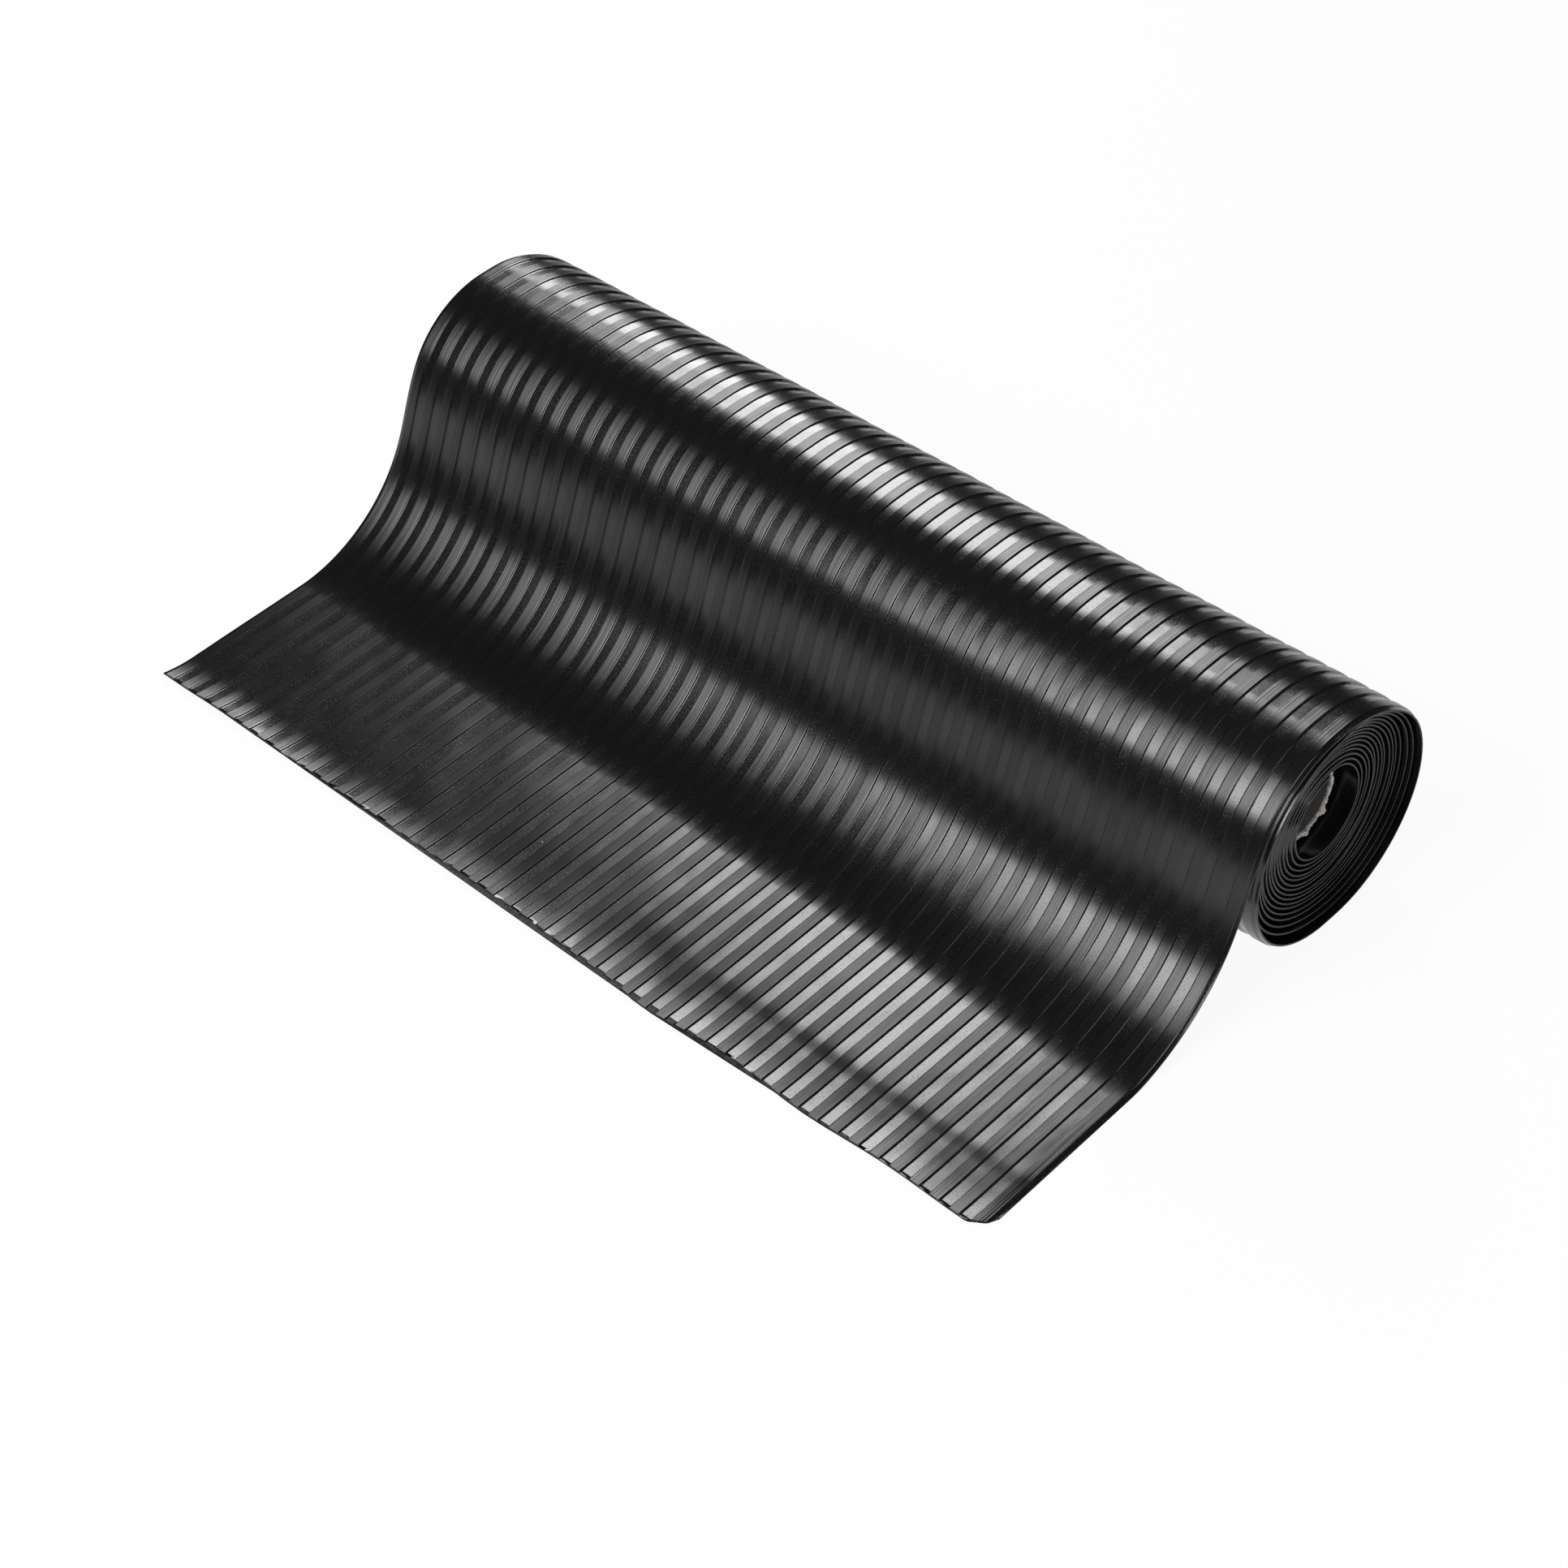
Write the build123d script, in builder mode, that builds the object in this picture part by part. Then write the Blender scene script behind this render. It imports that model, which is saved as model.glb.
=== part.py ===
from build123d import *
from math import cos, radians, sin
import os

# A heavy rubber runner mat with ribs along its length, part rolled up on a paper tube.
# X runs along the roll's axis, across the mat. The free end of the mat comes off the top of
# the roll, drops towards -Y and lies on the floor, Z = 0. All sizes are in millimetres.

# The sheet, as moulded and cut
mat_width = 900
sheet_thickness = 3.0
rib_height = 1.5
rib_width = 9.6
groove_width = 9.6

# The paper tube, its play in the innermost turn and how far inside the roll its near end lies
tube_radius = 34.5
tube_wall = 3.0
tube_clearance = 0.3
tube_inset = 16.0

# The roll: the turns lie loosely on each other, and the inner ones have slid sideways
turns = 13
turn_gap = 1.65
innermost_slide = 17.0
outermost_slide = 6.0
flat_spot = 10.0

# The free end, from the top of the roll to its cut edge on the floor
loose_run = 6.0
drop_angle = 64.3
bend_radius = 111.0
flat_run = 173.0
rib_end_angle = 40.0

# How far a cutter reaches past what it cuts
overcut = 1.0

# Ribs across the mat, and the first groove, which is mostly in the open beside the far edge
rib_pitch = rib_width + groove_width
rib_count = int((mat_width + groove_width) // rib_pitch)
side_margin = (mat_width + groove_width - rib_count * rib_pitch) / 2
first_groove = side_margin - groove_width

# The turns grow by one pitch each, as half circles about two centres half a pitch apart
turn_pitch = sheet_thickness + turn_gap
first_radius = tube_radius + tube_clearance + sheet_thickness
roll_radius = first_radius + turns * turn_pitch
half_turns = 2 * turns - 1

# The free end in the plane of its section, measured from the foot of the roll's axis
top_run = flat_spot + loose_run
shoulder_y = -top_run - roll_radius * sin(radians(drop_angle))
shoulder_z = roll_radius * (1 + cos(radians(drop_angle)))
bend_height = bend_radius * (1 - cos(radians(drop_angle)))
drop_length = (shoulder_z - sheet_thickness - bend_height) / sin(radians(drop_angle))
bend_y = shoulder_y - drop_length * cos(radians(drop_angle)) - bend_radius * sin(radians(drop_angle))
bend_z = sheet_thickness + bend_radius
cut_edge_y = bend_y - flat_run

# The origin is on the floor, under the middle of the whole part
axis_y = -(cut_edge_y + roll_radius) / 2
far_edge_x = -(mat_width - innermost_slide) / 2


def section_plane(x):
    """The plane across the roll at x from the mat's far edge, its origin under the roll's axis."""
    return Plane(origin=(far_edge_x + x, axis_y, 0), x_dir=(0, 1, 0), z_dir=(1, 0, 0))


def slide_of(half_turn):
    """How far a half turn has slid to the far side: most at the tube, least under the outer turn."""
    share = half_turn / (half_turns - 1)
    return innermost_slide + (outermost_slide - innermost_slide) * share


def outer_turn_side(depth):
    """The last turn's line at this depth under the ribbed side, with the flat spot that it rests on."""
    left_radius = roll_radius - turn_pitch / 2
    left = CenterArc((-flat_spot, left_radius), left_radius - depth, 90, 180)
    right = CenterArc((0, roll_radius), roll_radius - depth, -90, 180)
    start = Line((0, 2 * left_radius - depth), left @ 0)
    Line(left @ 1, right @ 0)
    Line(right @ 1, (-top_run, 2 * roll_radius - depth))
    return start @ 0


def free_side(depth, start_angle):
    """The free end's line at this depth under the ribbed side, from an angle past the top."""
    centre = (-top_run, roll_radius)
    shoulder = CenterArc(centre, roll_radius - depth, 90 + start_angle, drop_angle - start_angle)
    bend = CenterArc((bend_y, bend_z), bend_radius + depth, drop_angle - 90, -drop_angle)
    Line(shoulder @ 1, bend @ 0)
    flat = Line(bend @ 1, (cut_edge_y, sheet_thickness - depth))
    return shoulder @ 0, flat @ 1


# What is cut away between two ribs, from the shoulder down to the cut edge
with BuildPart() as groove:
    with BuildSketch(section_plane(first_groove)):
        with BuildLine():
            floor_start, floor_end = free_side(rib_height, rib_end_angle)
            open_start, open_end = free_side(-overcut, rib_end_angle)
            Line(floor_start, open_start)
            Polyline(floor_end, floor_end - (overcut, 0), open_end - (overcut, 0), open_end)
        make_face()
    extrude(amount=groove_width)

# The mat: half turns from the tube outwards, each slid a little less than the one before,
# then the outer turn and the free end in one outline, and last a groove beside each rib
with BuildPart() as ribbed_mat:
    for half_turn in range(half_turns):
        radius = first_radius + half_turn * turn_pitch / 2
        is_left = half_turn % 2
        centre = (0, roll_radius - is_left * turn_pitch / 2)
        first_angle = 90 if is_left else -90
        with BuildSketch(section_plane(-slide_of(half_turn))):
            with BuildLine():
                ribbed_line = CenterArc(centre, radius, first_angle, 180)
                smooth_line = CenterArc(centre, radius - sheet_thickness, first_angle, 180)
                Line(ribbed_line @ 0, smooth_line @ 0)
                Line(ribbed_line @ 1, smooth_line @ 1)
            make_face()
        extrude(amount=mat_width)

    with BuildSketch(section_plane(0)):
        with BuildLine():
            ribbed_start = outer_turn_side(0)
            ribbed_end = free_side(0, 0)[1]
            smooth_start = outer_turn_side(sheet_thickness)
            smooth_end = free_side(sheet_thickness, 0)[1]
            Line(ribbed_start, smooth_start)
            Line(ribbed_end, smooth_end)
        make_face()
    extrude(amount=mat_width)

    with Locations([(i * rib_pitch, 0, 0) for i in range(rib_count + 1)]):
        add(groove.part, mode=Mode.SUBTRACT)

# The paper tube, open at both ends, flush with the innermost turn at the far side only
with BuildPart() as core_tube:
    with BuildSketch(section_plane(-innermost_slide)):
        with Locations((0, roll_radius)):
            Circle(tube_radius)
            Circle(tube_radius - tube_wall, mode=Mode.SUBTRACT)
    extrude(amount=mat_width - tube_inset)

ribbed_mat.part.label = "ribbed_mat"
core_tube.part.label = "core_tube"

os.makedirs("parts", exist_ok=True)
export_step(ribbed_mat.part, "parts/ribbed_mat.step")
export_step(core_tube.part, "parts/core_tube.step")
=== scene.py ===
from math import atan2, cos, exp, pi, radians, sin

import bmesh
import bpy
from mathutils import Matrix, Vector, noise


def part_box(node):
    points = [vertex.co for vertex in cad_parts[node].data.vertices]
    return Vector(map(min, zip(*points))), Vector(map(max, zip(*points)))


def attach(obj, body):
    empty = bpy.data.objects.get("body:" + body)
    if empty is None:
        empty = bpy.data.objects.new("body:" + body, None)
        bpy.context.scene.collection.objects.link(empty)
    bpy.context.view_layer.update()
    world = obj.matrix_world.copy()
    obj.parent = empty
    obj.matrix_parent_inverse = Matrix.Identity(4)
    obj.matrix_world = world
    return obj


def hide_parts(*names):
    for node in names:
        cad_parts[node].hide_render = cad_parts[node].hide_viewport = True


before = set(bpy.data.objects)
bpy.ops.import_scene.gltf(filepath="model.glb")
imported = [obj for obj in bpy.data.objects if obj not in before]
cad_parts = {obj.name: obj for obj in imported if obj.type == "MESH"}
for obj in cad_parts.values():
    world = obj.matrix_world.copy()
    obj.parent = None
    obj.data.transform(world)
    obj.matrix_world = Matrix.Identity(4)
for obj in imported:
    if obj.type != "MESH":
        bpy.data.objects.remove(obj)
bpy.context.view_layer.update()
scene = bpy.context.scene
scene.view_settings.view_transform = "Standard"

# The camera looks down on the mat from beyond its cut edge and the near end of its roll, through
# a long lens. Its place and its turns were measured by fitting the mat's edges to the photograph.
camera_place = Vector((1.4648, -1.4614, 1.9380))
camera_azimuth = radians(44.445)
camera_elevation = radians(43.613)
camera_roll = radians(-2.665)
camera_lens = 80.47

camera_back = Vector((
    sin(camera_azimuth) * cos(camera_elevation),
    -cos(camera_azimuth) * cos(camera_elevation),
    sin(camera_elevation),
))
level_right = Vector((cos(camera_azimuth), sin(camera_azimuth), 0))
level_up = camera_back.cross(level_right)
camera_right = level_right * cos(camera_roll) + level_up * sin(camera_roll)
camera_up = level_up * cos(camera_roll) - level_right * sin(camera_roll)

camera_data = bpy.data.cameras.new("camera")
camera_data.lens = camera_lens
camera = bpy.data.objects.new("camera", camera_data)
camera_turn = Matrix((camera_right, camera_up, camera_back)).transposed()
camera.matrix_world = Matrix.Translation(camera_place) @ camera_turn.to_4x4()
scene.collection.objects.link(camera)
scene.camera = camera

# The mat is one sheet of black rubber, moulded with a rib beside each groove on its upper side.
# It is wound up from its inner end, which lies on a paper tube, and its outer end hangs off the
# top of the roll, runs out over the floor and ends in a cut made by hand.
_, mat_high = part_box("ribbed_mat")
tube_low, tube_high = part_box("core_tube")
axis_y = (tube_low.y + tube_high.y) / 2
axis_z = (tube_low.z + tube_high.z) / 2
tube_radius = (tube_high.z - tube_low.z) / 2
roll_radius = axis_z

mat_width = 0.900
near_edge_x = mat_high.x
sheet_thickness = 0.003
web_thickness = 0.0015
rib_width = 0.0096
groove_width = 0.0096
rib_pitch = rib_width + groove_width
rib_count = int((mat_width + groove_width) // rib_pitch)
side_margin = (mat_width + groove_width - rib_count * rib_pitch) / 2
rib_round = 0.0008
edge_round = 0.0002

# The free end comes off the top of the roll, turns down and eases into a bend that is as wide
# as the rubber is stiff, and that brings it flat on to the floor
cut_edge_y = axis_y - 0.413
top_run = 0.016
easing_run = 0.100
bend_radius = 0.140
shoulder_steps = 18
easing_steps = 20
bend_steps = 24

# The outer turn hangs loosely round the turns inside it, which start this much below it
flat_spot = 0.012
outer_half_width = 0.098
second_turn_gap = 0.0005

# The turns inside lie on each other unevenly, and the innermost ones have the most room
inner_turns = 15
turn_steps = 60
least_pitch = sheet_thickness + 0.0001
hole_room = 0.0018
innermost_share = 0.65
loose_swing = 0.040
loose_turns = 3.7
hole_shift = Vector((0, 0.0012, -0.0010))
left_room = 0.0165
left_room_turns = 3.5
innermost_growth = 5


class Station:
    """A place on the sheet's way: its distance from the cut edge, its point and its outward side."""

    def __init__(self, along, y, z, facing):
        self.along = along
        self.y = y
        self.z = z
        self.outward = Vector((0, cos(facing), sin(facing)))


def drop_points(bend_angle):
    """The free end's points and slopes from the top of the roll down, for a bend of this angle."""
    eased_angle = easing_run * (1 / bend_radius - 1 / roll_radius) / 2
    shoulder_angle = bend_angle + eased_angle
    y, z, slope = axis_y - top_run, 2 * roll_radius, 0
    points = [(y, z, slope)]
    for length, first_curve, last_curve, steps in (
        (shoulder_angle * roll_radius, 1 / roll_radius, 1 / roll_radius, shoulder_steps),
        (easing_run, 1 / roll_radius, -1 / bend_radius, easing_steps),
        (bend_angle * bend_radius, -1 / bend_radius, -1 / bend_radius, bend_steps),
    ):
        step_length = length / steps
        for step in range(steps):
            curve = first_curve + (last_curve - first_curve) * (step + 0.5) / steps
            middle_slope = slope + curve * step_length / 2
            y -= step_length * cos(middle_slope)
            z -= step_length * sin(middle_slope)
            slope += curve * step_length
            points.append((y, z, slope))
    return points


# The bend's angle is found by halving, so that the sheet just comes down to the floor
low_angle, high_angle = 0, pi / 2
closest_angle = 1e-7
while high_angle - low_angle > closest_angle:
    bend_angle = (low_angle + high_angle) / 2
    if drop_points(bend_angle)[-1][1] > sheet_thickness:
        low_angle = bend_angle
    else:
        high_angle = bend_angle
drop = drop_points(bend_angle)
drop.reverse()

way = [Station(0, cut_edge_y, sheet_thickness, pi / 2)]


def go_to(y, z, facing):
    """Adds a station at this point."""
    last = way[-1]
    step = ((y - last.y) ** 2 + (z - last.z) ** 2) ** 0.5
    way.append(Station(last.along + step, y, z, facing))


# The stretch at the cut edge, which curls, has closer stations than the flat one behind it
curled_run = 0.072
curled_steps = 22
flat_steps = 7
for step in range(1, curled_steps + 1):
    go_to(cut_edge_y + curled_run * step / curled_steps, sheet_thickness, pi / 2)
flat_start = way[-1].y
for step in range(1, flat_steps + 1):
    go_to(flat_start + (drop[0][0] - flat_start) * step / flat_steps, sheet_thickness, pi / 2)
for y, z, slope in drop[1:]:
    go_to(y, z, pi / 2 + slope)
top_index = len(way) - 1
go_to(axis_y, 2 * roll_radius, pi / 2)

# The outer turn goes down the right side and, across the flat spot, up the left side
right_steps = 38
left_steps = 34
for step in range(1, right_steps + 1):
    facing = pi / 2 - pi * step / right_steps
    go_to(axis_y + roll_radius * cos(facing), roll_radius * (1 + sin(facing)), facing)
inner_top = 2 * roll_radius - sheet_thickness - second_turn_gap
half_height = inner_top / 2
for step in range(left_steps + 1):
    facing = -pi / 2 - pi * step / left_steps
    go_to(axis_y - flat_spot + outer_half_width * cos(facing), half_height * (1 + sin(facing)), facing)
ribbed_stations = len(way)

inner_start = inner_top - axis_z
inner_end = tube_radius + hole_room + sheet_thickness
slack = inner_start - inner_end - inner_turns * least_pitch
for step in range(inner_turns * turn_steps + 1):
    turned = step / turn_steps
    innermost = (turned / inner_turns) ** innermost_growth
    spread = turned / inner_turns - loose_swing * sin(2 * pi * turned / loose_turns)
    radius = inner_start - turned * least_pitch - slack * (
        innermost_share * innermost + (1 - innermost_share) * spread)
    facing = pi / 2 - 2 * pi * turned
    centre = Vector((0, axis_y, axis_z)) + hole_shift * innermost
    left_stretch = left_room * exp(-turned / left_room_turns) * min(cos(facing), 0)
    go_to(centre.y + radius * cos(facing) + left_stretch, centre.z + radius * sin(facing), facing)

# The section across the flat sheet is drawn from corner to corner by pulling out one vertex
bm = bmesh.new()
pen = bm.verts.new((0, 0, 0))


def draw_to(across, height):
    """Draws the section on to this place and gives its new corner."""
    global pen
    pen = bmesh.ops.extrude_vert_indiv(bm, verts=[pen])["verts"][0]
    pen.co = (across, 0, height)
    return pen


first_corner = pen
for rib in range(rib_count - 1):
    draw_to(side_margin + rib_width + groove_width / 2 + rib * rib_pitch, 0)
edge_corners = [first_corner, draw_to(mat_width, 0), draw_to(mat_width, web_thickness)]
rib_corners = []
for rib in reversed(range(rib_count)):
    rib_left = side_margin + rib * rib_pitch
    rib_right = rib_left + rib_width
    for across, height in (
        (rib_right, web_thickness),
        (rib_right, sheet_thickness),
        (rib_left, sheet_thickness),
        (rib_left, web_thickness),
    ):
        rib_corners.append(draw_to(across, height))
edge_corners.append(draw_to(0, web_thickness))
bm.edges.new((pen, first_corner))
for corners, size in ((rib_corners, rib_round), (edge_corners, edge_round)):
    bmesh.ops.bevel(
        bm, geom=corners, offset=size, segments=1, profile=0.5, affect="VERTICES", material=-1,
    )


def pull_on(ring, stations):
    """Pulls the ring along the flat sheet, one metre for each station, and gives the new ring."""
    made = bmesh.ops.extrude_edge_only(bm, edges=ring)["geom"]
    new_verts = [item for item in made if isinstance(item, bmesh.types.BMVert)]
    bmesh.ops.translate(bm, verts=new_verts, vec=(0, stations, 0))
    return [item for item in made if isinstance(item, bmesh.types.BMEdge)], new_verts


def edges_back(verts):
    """The edges that run back along the sheet from these vertices."""
    edges = {edge for vert in verts for edge in vert.link_edges}
    return [edge for edge in edges if abs(edge.verts[0].co.y - edge.verts[1].co.y) > 0.5]


ribbed_last = ribbed_stations - 1
ring, verts = pull_on(list(bm.edges), ribbed_last)
bmesh.ops.subdivide_edges(bm, edges=edges_back(verts), cuts=ribbed_last - 1)

# Inside the roll no groove shows, so the section there is a plain one with a step at each side
ring, verts = pull_on(ring, 1)
for vert in verts:
    inside = side_margin - rib_round < vert.co.x < mat_width - side_margin + rib_round
    if inside and vert.co.z > web_thickness - edge_round / 2:
        vert.co.z = sheet_thickness
ring, verts = pull_on(ring, 1)
kept = side_margin + 2 * rib_round
middle = [vert for vert in verts if kept < vert.co.x < mat_width - kept]
bmesh.ops.dissolve_edges(bm, edges=edges_back(middle), use_verts=False)
bmesh.ops.dissolve_verts(bm, verts=middle)
plain_start = ribbed_last + 2
ring = [
    edge for edge in bm.edges
    if all(abs(vert.co.y - plain_start) < 0.1 for vert in edge.verts)
]
plain_stations = len(way) - 1 - plain_start
ring, verts = pull_on(ring, plain_stations)
bmesh.ops.subdivide_edges(bm, edges=edges_back(verts), cuts=plain_stations - 1)
cut_ring = [edge for edge in bm.edges if edge.is_boundary and edge.verts[0].co.y < 0.5]
for end_ring in (cut_ring, ring):
    bmesh.ops.contextual_create(bm, geom=end_ring)
bmesh.ops.recalc_face_normals(bm, faces=bm.faces)
bmesh.ops.triangulate(bm, faces=[face for face in bm.faces if len(face.verts) > 4])

# The sides and the ends were cut through, and everything else has its skin from the mould
cut_face, rib_top = 1, 2
for face in bm.faces:
    face.smooth = True
    at_side = all(
        abs(abs(vert.co.x - mat_width / 2) - mat_width / 2) < edge_round / 2 for vert in face.verts)
    at_end = abs(face.normal.y) > 0.9
    if at_side or at_end:
        face.material_index = cut_face
    elif all(vert.co.z > sheet_thickness - edge_round / 2 for vert in face.verts):
        face.material_index = rib_top
    if at_end:
        for edge in face.edges:
            edge.smooth = False

# Rolling up: the turns have slid along the roll, the inner ones most, while the outer ones lean
# out at its near end. The free end has its own uneven edge.
top_slide = 0.001
most_slide = 0.017
slide_turns = 4.5
outer_lean = 0.0071
lean_start = 0.12
lean_turns = 2
uneven_slide = 0.0016
uneven_per_turn = 1.7
edge_reach = 0.150
left_recess = 0.0045
recess_ends = (0.42, 0.52)
wave_depth = 0.0035
wave_length = 0.160
wave_crest = 0.574
wave_starts = (0.49, 0.56)
wave_fade = 0.2
corner_width = 0.015
corner_depth = 0.018
corner_sharpness = 3.5
curl_height = 0.0009
left_curl = 0.0040
left_curl_fade = 0.16
curl_reach = 0.032
curl_unevenness = 0.5
curls_per_metre = 16
left_swell = 0.0002
right_swell = 0.0004
right_swell_starts = (0.40, 0.72)
swell_trough = 0.030
right_trough_shift = 0.014
swell_crest = 0.098
right_crest_shift = 0.038
right_crest_starts = (0.20, 0.66)
swell_end = 0.158
side_droop = 0.0009
droop_reach = 0.018
ripple = 0.0004
fine_ripple_share = 0.6


def eased(value, start, end):
    """0 up to start, 1 from end on, and smooth between them."""
    share = min(max((value - start) / (end - start), 0), 1)
    return share * share * (3 - 2 * share)


def slide_at(index):
    """How far the sheet has slid towards the far side of the roll at this station."""
    station = way[index]
    top = way[top_index]
    if index <= top_index:
        return top_slide * eased(station.along, 0, top.along)
    turns = (station.along - top.along) / (2 * pi * roll_radius)
    uneven = noise.noise(
        Vector((turns * uneven_per_turn, 0.6 * station.outward.y, 0.6 * station.outward.z)))
    slide = top_slide + (most_slide - top_slide) * (1 - exp(-turns / slide_turns))
    slide -= outer_lean * (1 - exp(-(turns / lean_start) ** 2)) * exp(-turns / lean_turns)
    return slide + min(turns, 1) * uneven_slide * uneven


def cut_line(across):
    """How far the cut edge is short of its straight line."""
    recess = left_recess * (1 - eased(across, *recess_ends))
    swing = cos(2 * pi * (across - wave_crest) / wave_length)
    fading = exp(-(across - wave_crest) / wave_fade)
    recess -= wave_depth * swing * eased(across, *wave_starts) * fading
    to_corner = max(across - (mat_width - corner_width), 0) / corner_width
    return recess + corner_depth * to_corner ** corner_sharpness


def lift_of_end(across, along):
    """How high the free end stands off the floor: a low swell, and a curl at the cut edge."""
    curl = curl_height + left_curl * exp(-across / left_curl_fade)
    curl *= 1 + curl_unevenness * noise.noise(Vector((across * curls_per_metre, 5.3, 8.1)))
    to_right = eased(across, *right_swell_starts)
    height = left_swell + (right_swell - left_swell) * to_right
    trough = swell_trough + right_trough_shift * to_right
    crest = swell_crest - right_crest_shift * eased(across, *right_crest_starts)
    swell = height * eased(along, trough, crest) * (1 - eased(along, crest, swell_end))
    return swell + curl * max(1 - along / curl_reach, 0) ** 2


def rolled_up(across, index, height):
    """Where a point of the flat sheet lies once it is rolled up."""
    station = way[index]
    point = Vector((0, station.y, station.z)) - station.outward * (sheet_thickness - height)
    point.x = near_edge_x - mat_width + across - slide_at(index)
    if index < ribbed_stations:
        point.y += cut_line(across) * max(1 - station.along / edge_reach, 0) ** 2
        point.z += lift_of_end(across, station.along)
        from_side = min(across, mat_width - across)
        point -= station.outward * side_droop * max(1 - from_side / droop_reach, 0) ** 2
        lift = noise.noise(Vector((across * 14, station.along * 9, 4.2)))
        lift += fine_ripple_share * noise.noise(Vector((across * 31, station.along * 21, 9.1)))
        point += station.outward * ripple * max(lift, -station.z / ripple)
    point.z = max(point.z, 0)
    return point


sheet_place = bm.verts.layers.float_vector.new("sheet")
for vert in bm.verts:
    across, _, height = vert.co
    index = round(vert.co.y)
    vert[sheet_place] = (across, way[index].along, height)
    vert.co = rolled_up(across, index, height)
flat_map = bm.loops.layers.uv.new("flat_sheet")
for face in bm.faces:
    for loop in face.loops:
        loop[flat_map].uv = loop.vert[sheet_place].xy


def finished(name, materials):
    """Ends the bmesh as an object of this name with these materials."""
    mesh = bpy.data.meshes.new(name)
    bm.to_mesh(mesh)
    bm.free()
    for material in materials:
        mesh.materials.append(material)
    piece = bpy.data.objects.new(name, mesh)
    scene.collection.objects.link(piece)
    return piece


def add_node(tree, kind, inputs, **settings):
    """Adds a node with these settings, and sets or links its inputs by name or by number."""
    node = tree.nodes.new(kind)
    for name, value in settings.items():
        setattr(node, name, value)
    for name, value in inputs.items():
        if isinstance(value, bpy.types.NodeSocket):
            tree.links.new(value, node.inputs[name])
        else:
            node.inputs[name].default_value = value
    return node


def new_material(name):
    """A material with its node tree and its shader."""
    material = bpy.data.materials.new(name)
    material.use_nodes = True
    return material, material.node_tree, material.node_tree.nodes["Principled BSDF"]


# Small spots, such as pits, dust or paper fibres: 1 in a spot and 0 between them
spots = bpy.data.node_groups.new("spots", "ShaderNodeTree")
for name, kind in (("Place", "Vector"), ("Per metre", "Float"), ("Threshold", "Float")):
    spots.interface.new_socket(name, in_out="INPUT", socket_type="NodeSocket" + kind)
spots.interface.new_socket("Mask", in_out="OUTPUT", socket_type="NodeSocketFloat")
given = add_node(spots, "NodeGroupInput", {}).outputs
mottle = add_node(spots, "ShaderNodeTexNoise", {
    "Vector": given["Place"], "Scale": given["Per metre"], "Detail": 1.5, "Roughness": 0.5})
full_spot = add_node(spots, "ShaderNodeMath", {0: given["Threshold"], 1: 0.05}, operation="ADD")
spot = add_node(spots, "ShaderNodeMapRange", {
    "Value": mottle.outputs["Fac"], "From Min": given["Threshold"], "From Max": full_spot.outputs[0]})
add_node(spots, "NodeGroupOutput", {"Mask": spot.outputs["Result"]})

rubber_black = (0.0048, 0.0048, 0.0050, 1)
dust_grey = (0.030, 0.030, 0.030, 1)
lint_white = (0.50, 0.50, 0.48, 1)


def moulded_rubber(name):
    """A material for the skin from the mould, which is a little uneven and carries some dust."""
    material, tree, shader = new_material(name)
    on_sheet = add_node(tree, "ShaderNodeAttribute", {}, attribute_name="sheet").outputs["Vector"]
    dust = add_node(tree, "ShaderNodeGroup", {
        "Place": on_sheet, "Per metre": 330.0, "Threshold": 0.80}, node_tree=spots)
    dusty = add_node(tree, "ShaderNodeMix", {
        "Factor": dust.outputs["Mask"], 6: rubber_black, 7: dust_grey}, data_type="RGBA")
    lint_places = add_node(tree, "ShaderNodeTexVoronoi", {"Vector": on_sheet, "Scale": 15.0})
    lint = add_node(tree, "ShaderNodeMath", {
        0: lint_places.outputs["Distance"], 1: 0.008}, operation="LESS_THAN")
    linty = add_node(tree, "ShaderNodeMix", {
        "Factor": lint.outputs[0], 6: dusty.outputs[2], 7: lint_white}, data_type="RGBA")
    tree.links.new(linty.outputs[2], shader.inputs["Base Color"])
    rib_by_rib = add_node(tree, "ShaderNodeMapping", {"Vector": on_sheet, "Scale": (1.8, 1, 1)})
    unevenness = add_node(tree, "ShaderNodeTexNoise", {
        "Vector": rib_by_rib.outputs["Vector"], "Scale": 14.0, "Detail": 1.5, "Roughness": 0.5})
    uneven = add_node(tree, "ShaderNodeBump", {
        "Height": unevenness.outputs["Fac"], "Distance": 0.0008})
    tree.links.new(uneven.outputs["Normal"], shader.inputs["Normal"])
    shader.inputs["IOR"].default_value = 1.58
    return material, tree, shader, on_sheet, uneven.inputs["Normal"]


# The grooves are finely pitted
groove_rubber, tree, shader, on_sheet, finer_normal = moulded_rubber("groove_rubber")
across_pits = add_node(tree, "ShaderNodeMapping", {"Vector": on_sheet, "Scale": (1, 0.7, 0)})
pits = add_node(tree, "ShaderNodeGroup", {
    "Place": across_pits.outputs["Vector"], "Per metre": 1150.0, "Threshold": 0.62}, node_tree=spots)
pitted = add_node(tree, "ShaderNodeBump", {
    "Height": pits.outputs["Mask"], "Distance": 0.00002}, invert=True)
tree.links.new(pitted.outputs["Normal"], finer_normal)
roughness = add_node(tree, "ShaderNodeMapRange", {
    "Value": pits.outputs["Mask"], "To Min": 0.19, "To Max": 0.29})
tree.links.new(roughness.outputs["Result"], shader.inputs["Roughness"])

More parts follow.
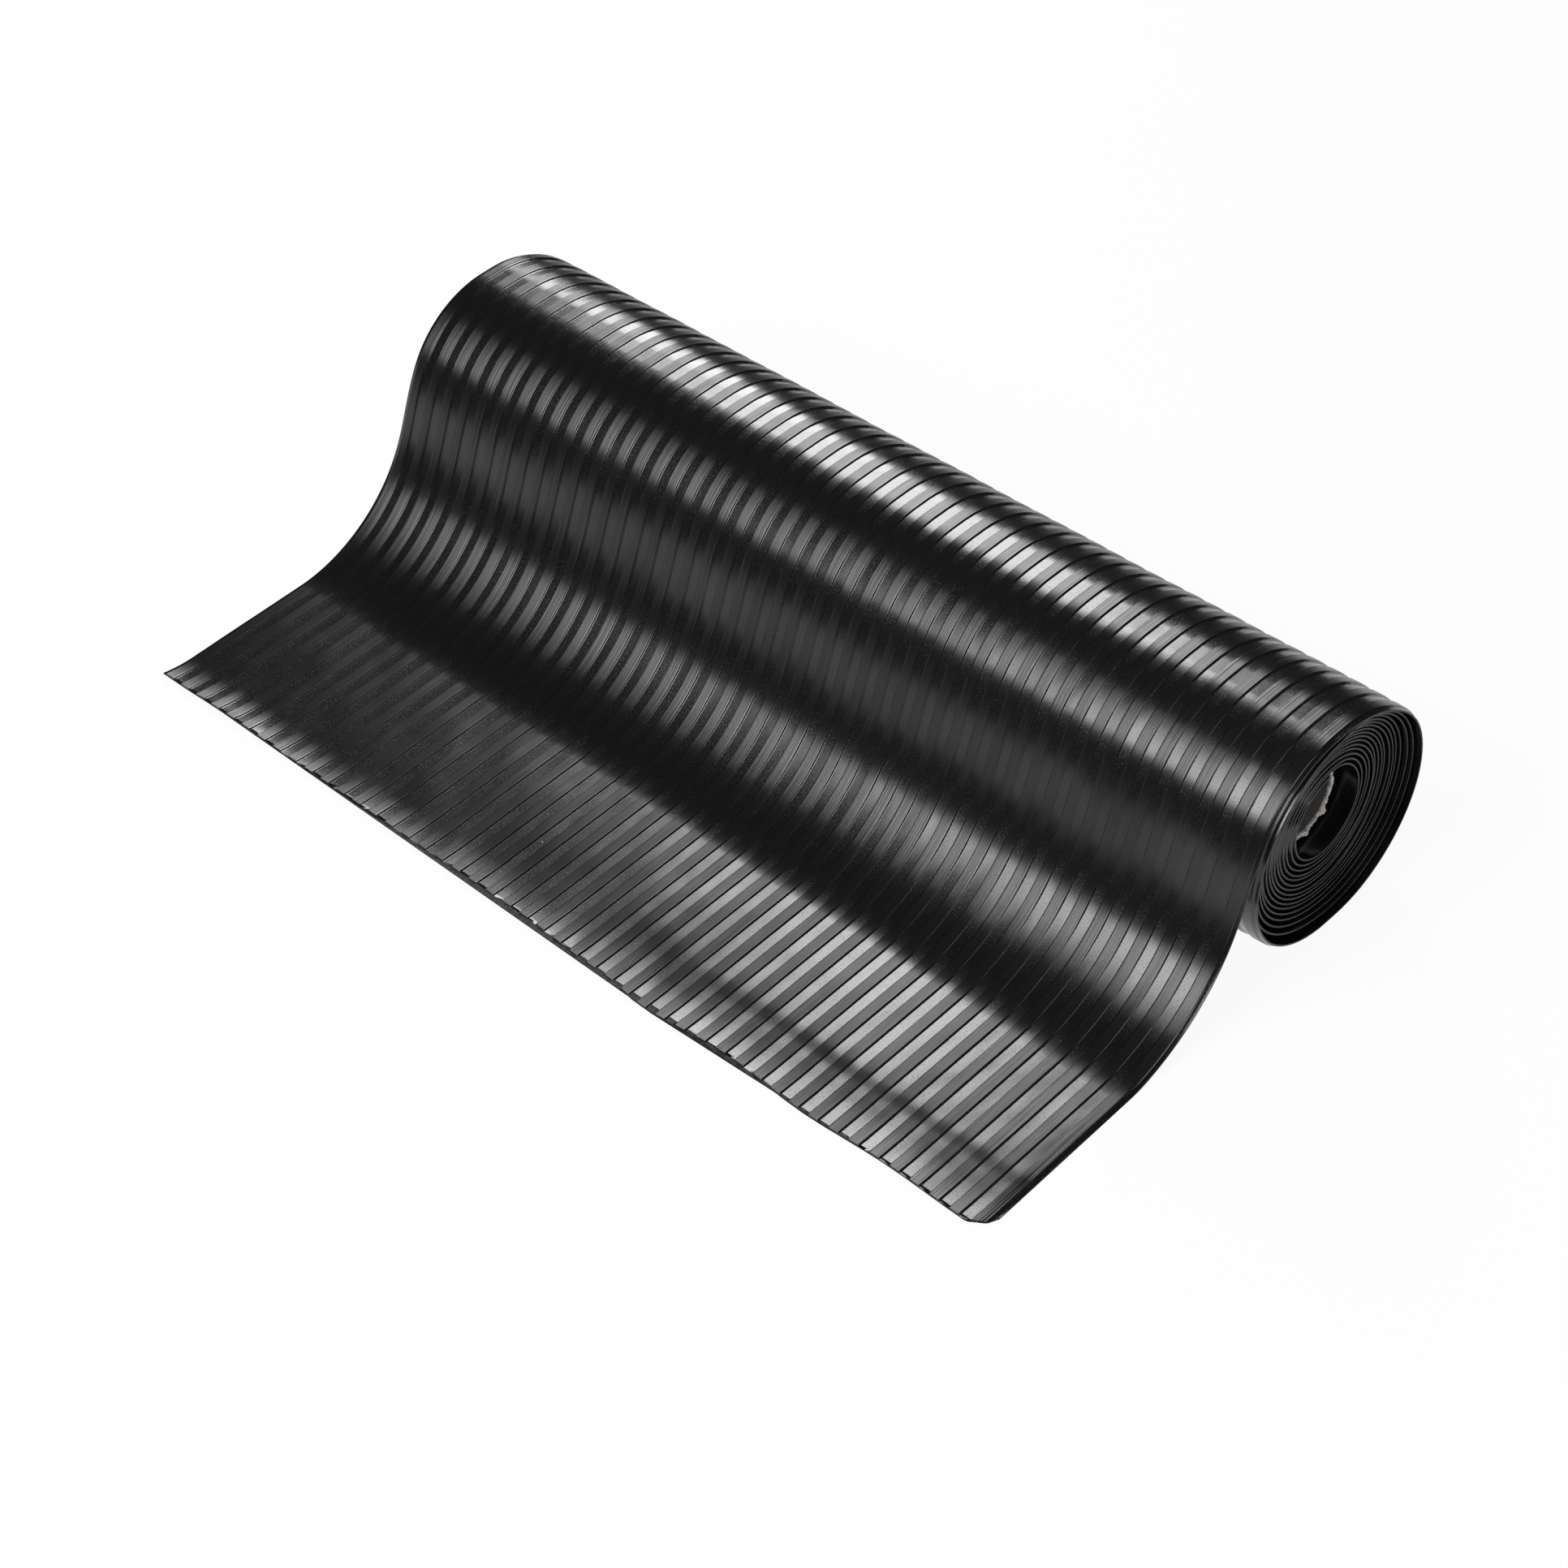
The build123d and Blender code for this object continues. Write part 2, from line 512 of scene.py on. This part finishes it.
# Fine streaks run along the tops of the ribs, and blur what they mirror across the ribs
rib_rubber, tree, shader, on_sheet, finer_normal = moulded_rubber("rib_rubber")
along_ribs = add_node(tree, "ShaderNodeMapping", {"Vector": on_sheet, "Scale": (1, 0.012, 1)})
streaks = add_node(tree, "ShaderNodeTexNoise", {
    "Vector": along_ribs.outputs["Vector"], "Scale": 620.0, "Detail": 2.0, "Roughness": 0.6})
streaked = add_node(tree, "ShaderNodeBump", {"Height": streaks.outputs["Fac"], "Distance": 0.00040})
tree.links.new(streaked.outputs["Normal"], finer_normal)
across_ribs = add_node(tree, "ShaderNodeTangent", {}, direction_type="UV_MAP", uv_map="flat_sheet")
tree.links.new(across_ribs.outputs["Tangent"], shader.inputs["Tangent"])
shader.inputs["Anisotropic"].default_value = 0.9
shader.inputs["Roughness"].default_value = 0.31

# Cut rubber is paler and duller than the moulded skin
cut_grey = (0.038, 0.039, 0.040, 1)
cut_dark = (0.018, 0.018, 0.019, 1)
cut_rubber, tree, shader = new_material("cut_rubber")
on_sheet = add_node(tree, "ShaderNodeAttribute", {}, attribute_name="sheet").outputs["Vector"]
crumbs = add_node(tree, "ShaderNodeGroup", {
    "Place": on_sheet, "Per metre": 500.0, "Threshold": 0.45}, node_tree=spots)
crumbly = add_node(tree, "ShaderNodeMix", {
    "Factor": crumbs.outputs["Mask"], 6: cut_dark, 7: cut_grey}, data_type="RGBA")
tree.links.new(crumbly.outputs[2], shader.inputs["Base Color"])
torn = add_node(tree, "ShaderNodeBump", {"Height": crumbs.outputs["Mask"], "Distance": 0.00004})
tree.links.new(torn.outputs["Normal"], shader.inputs["Normal"])
shader.inputs["Roughness"].default_value = 0.55
shader.inputs["Specular IOR Level"].default_value = 0.25

mat = finished("rolled_rubber_mat", [groove_rubber, cut_rubber, rib_rubber])
shading = mat.modifiers.new("even_shading", "WEIGHTED_NORMAL")
shading.mode = "FACE_AREA"
shading.weight = 100
shading.thresh = 0.00002
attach(mat, "root")
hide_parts("ribbed_mat")

# The tube is wound from strips of brown-grey board, glued in layers. Its near end was torn
# through, so it has a ragged pale rim of paper fibres with two small flaps peeled from it.
tube_wall = 0.003
torn_depth = 0.006
torn_rings = 8
rim_points = 7
tube_steps = 240
tear_depth = 0.0024
flap_angles = (radians(-48), radians(-83))
flap_width = radians(5)
flap_rise = 0.0024
fluff = 0.0005
torn_share = 0.4
tube_bore = tube_radius - tube_wall
torn_start = tube_high.x - torn_depth

bm = bmesh.new()
pen = bm.verts.new((tube_low.x, axis_y, axis_z + tube_bore))
first_corner = pen
tube_section = [(tube_low.x, tube_radius)]
tube_section += [
    (torn_start + torn_depth * ring / torn_rings, tube_radius) for ring in range(torn_rings + 1)]
tube_section += [
    (tube_high.x, tube_radius - tube_wall * point / rim_points) for point in range(1, rim_points)]
tube_section += [
    (tube_high.x - torn_depth * ring / torn_rings, tube_bore) for ring in range(torn_rings + 1)]
for along, radius in tube_section:
    pen = bmesh.ops.extrude_vert_indiv(bm, verts=[pen])["verts"][0]
    pen.co = (along, axis_y, axis_z + radius)
bm.edges.new((pen, first_corner))
bmesh.ops.spin(
    bm, geom=list(bm.verts) + list(bm.edges), cent=(0, axis_y, axis_z), axis=(1, 0, 0),
    angle=2 * pi, steps=tube_steps, use_merge=True,
)
bmesh.ops.remove_doubles(bm, verts=bm.verts, dist=1e-6)
bmesh.ops.recalc_face_normals(bm, faces=bm.faces)
torn_face = 1
for face in bm.faces:
    face.smooth = True
    if all(vert.co.x > tube_high.x - torn_share * torn_depth for vert in face.verts):
        face.material_index = torn_face

# The layers tore at different depths, and their fibres stand out a little
for vert in bm.verts:
    share = (vert.co.x - torn_start) / torn_depth
    if share <= 0:
        continue
    spoke = vert.co - Vector((vert.co.x, axis_y, axis_z))
    layer = (spoke.length - tube_bore) / tube_wall
    direction = spoke.normalized()
    rough = noise.noise(direction * 5 + Vector((0.8 * layer, 0, 0)))
    fine = noise.noise(direction * 26 + Vector((3.1 * layer, 0, 7)))
    fibres = noise.noise(direction * 90 + Vector((9.7 * layer, 0, 3)))
    vert.co.x += share * tear_depth * (0.55 * rough + 0.4 * fine + 0.3 * fibres - 0.35)
    vert.co += direction * share ** 2 * fluff * (fine + fibres)
    angle = atan2(spoke.z, spoke.y)
    for flap_angle in flap_angles:
        flap = exp(-((angle - flap_angle) / flap_width) ** 2) * share ** 2 * eased(layer, 0.3, 0.9)
        vert.co += direction * flap_rise * flap
        vert.co.x += 0.5 * flap_rise * flap

board_brown = (0.115, 0.098, 0.094, 1)
board_dark = (0.070, 0.060, 0.058, 1)
fibre_grey = (0.60, 0.59, 0.57, 1)
fibre_shade = (0.32, 0.31, 0.30, 1)
board, tree, shader = new_material("tube_board")
place = add_node(tree, "ShaderNodeTexCoord", {}).outputs["Object"]
along_tube = add_node(tree, "ShaderNodeMapping", {"Vector": place, "Scale": (0.3, 1, 1)})
mottle = add_node(tree, "ShaderNodeTexNoise", {
    "Vector": along_tube.outputs["Vector"], "Scale": 160.0, "Detail": 4.0})
browns = add_node(tree, "ShaderNodeMix", {
    "Factor": mottle.outputs["Fac"], 6: board_dark, 7: board_brown}, data_type="RGBA")
tree.links.new(browns.outputs[2], shader.inputs["Base Color"])
papery = add_node(tree, "ShaderNodeBump", {"Height": mottle.outputs["Fac"], "Distance": 0.0001})
tree.links.new(papery.outputs["Normal"], shader.inputs["Normal"])
shader.inputs["Roughness"].default_value = 0.85

torn_board, tree, shader = new_material("torn_board")
place = add_node(tree, "ShaderNodeTexCoord", {}).outputs["Object"]
fibres = add_node(tree, "ShaderNodeGroup", {
    "Place": place, "Per metre": 900.0, "Threshold": 0.47}, node_tree=spots)
greys = add_node(tree, "ShaderNodeMix", {
    "Factor": fibres.outputs["Mask"], 6: fibre_shade, 7: fibre_grey}, data_type="RGBA")
tree.links.new(greys.outputs[2], shader.inputs["Base Color"])
fluffy = add_node(tree, "ShaderNodeBump", {"Height": fibres.outputs["Mask"], "Distance": 0.0002})
tree.links.new(fluffy.outputs["Normal"], shader.inputs["Normal"])
shader.inputs["Roughness"].default_value = 0.9

tube = finished("torn_paper_tube", [board, torn_board])
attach(tube, "root")
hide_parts("core_tube")

# The floor is a wide pale sheet. To the camera and in the rubber's gloss it is nearly white all
# over, and it keeps the mat's soft shadow.
floor_half = 3.0
floor_white = (0.88, 0.88, 0.88, 1)
seen_white = 0.93
bm = bmesh.new()
bmesh.ops.create_grid(bm, x_segments=1, y_segments=1, size=floor_half)
floor_paint, tree, shader = new_material("floor_paint")
shader.inputs["Base Color"].default_value = floor_white
shader.inputs["Roughness"].default_value = 0.9
white = add_node(tree, "ShaderNodeEmission", {"Color": (1, 1, 1, 1), "Strength": 1.0})
ray = add_node(tree, "ShaderNodeLightPath", {}).outputs
mirrored = add_node(tree, "ShaderNodeMath", {
    0: ray["Is Camera Ray"], 1: ray["Is Glossy Ray"]}, operation="MAXIMUM")
whiteness = add_node(tree, "ShaderNodeMath", {
    0: mirrored.outputs[0], 1: seen_white}, operation="MULTIPLY")
whitened = add_node(tree, "ShaderNodeMixShader", {
    0: whiteness.outputs[0], 1: shader.outputs["BSDF"], 2: white.outputs["Emission"]})
tree.links.new(whitened.outputs["Shader"], tree.nodes["Material Output"].inputs["Surface"])
floor = finished("floor", [floor_paint])


# The studio has a very large soft box high up behind the camera's left side, with a smaller one
# over its lower part that brightens it, one above the far side of the roll, and a weak wide one
# to fill in. They make the soft bands of light on the rubber.
def soft_box(name, place, shining, long_side, length, width, radiance):
    """A soft box at a place: the way it shines, the way its long side runs, sizes and brightness."""
    lamp = bpy.data.lights.new(name, "AREA")
    lamp.shape = "RECTANGLE"
    lamp.size = length
    lamp.size_y = width
    lamp.energy = radiance * pi * length * width
    back = -Vector(shining).normalized()
    side = Vector(long_side)
    side = (side - side.dot(back) * back).normalized()
    turn = Matrix((side, back.cross(side), back)).transposed()
    box = bpy.data.objects.new(name, lamp)
    box.matrix_world = Matrix.Translation(place) @ turn.to_4x4()
    scene.collection.objects.link(box)


soft_box("front_box", (-1.51, -5.10, 5.94), (0.34, 0.68, -0.65), (-0.91, 0.41, -0.06), 4.16, 5.47, 5.3)
soft_box("near_box", (-1.41, -5.57, 5.42), (0.34, 0.68, -0.65), (-0.91, 0.41, -0.06), 3.70, 3.10, 4.2)
soft_box("back_box", (-2.08, 2.42, 2.49), (-0.38, -0.89, -0.24), (0.67, -0.45, 0.59), 2.17, 1.81, 12.3)
soft_box("fill_box", (3.1, -0.3, 1.5), (-0.9, 0.05, -0.42), (0, 1, 0), 2.6, 2.0, 3.0)

room = bpy.data.worlds.new("room")
room.use_nodes = True
tree = room.node_tree
room_dark = tree.nodes["Background"]
room_dark.inputs["Color"].default_value = (0.04, 0.04, 0.04, 1)
backdrop = add_node(tree, "ShaderNodeBackground", {"Color": (1, 1, 1, 1), "Strength": 1.0})
ray = add_node(tree, "ShaderNodeLightPath", {}).outputs
seen = add_node(tree, "ShaderNodeMixShader", {
    0: ray["Is Camera Ray"], 1: room_dark.outputs["Background"], 2: backdrop.outputs["Background"]})
tree.links.new(seen.outputs["Shader"], tree.nodes["World Output"].inputs["Surface"])
scene.world = room
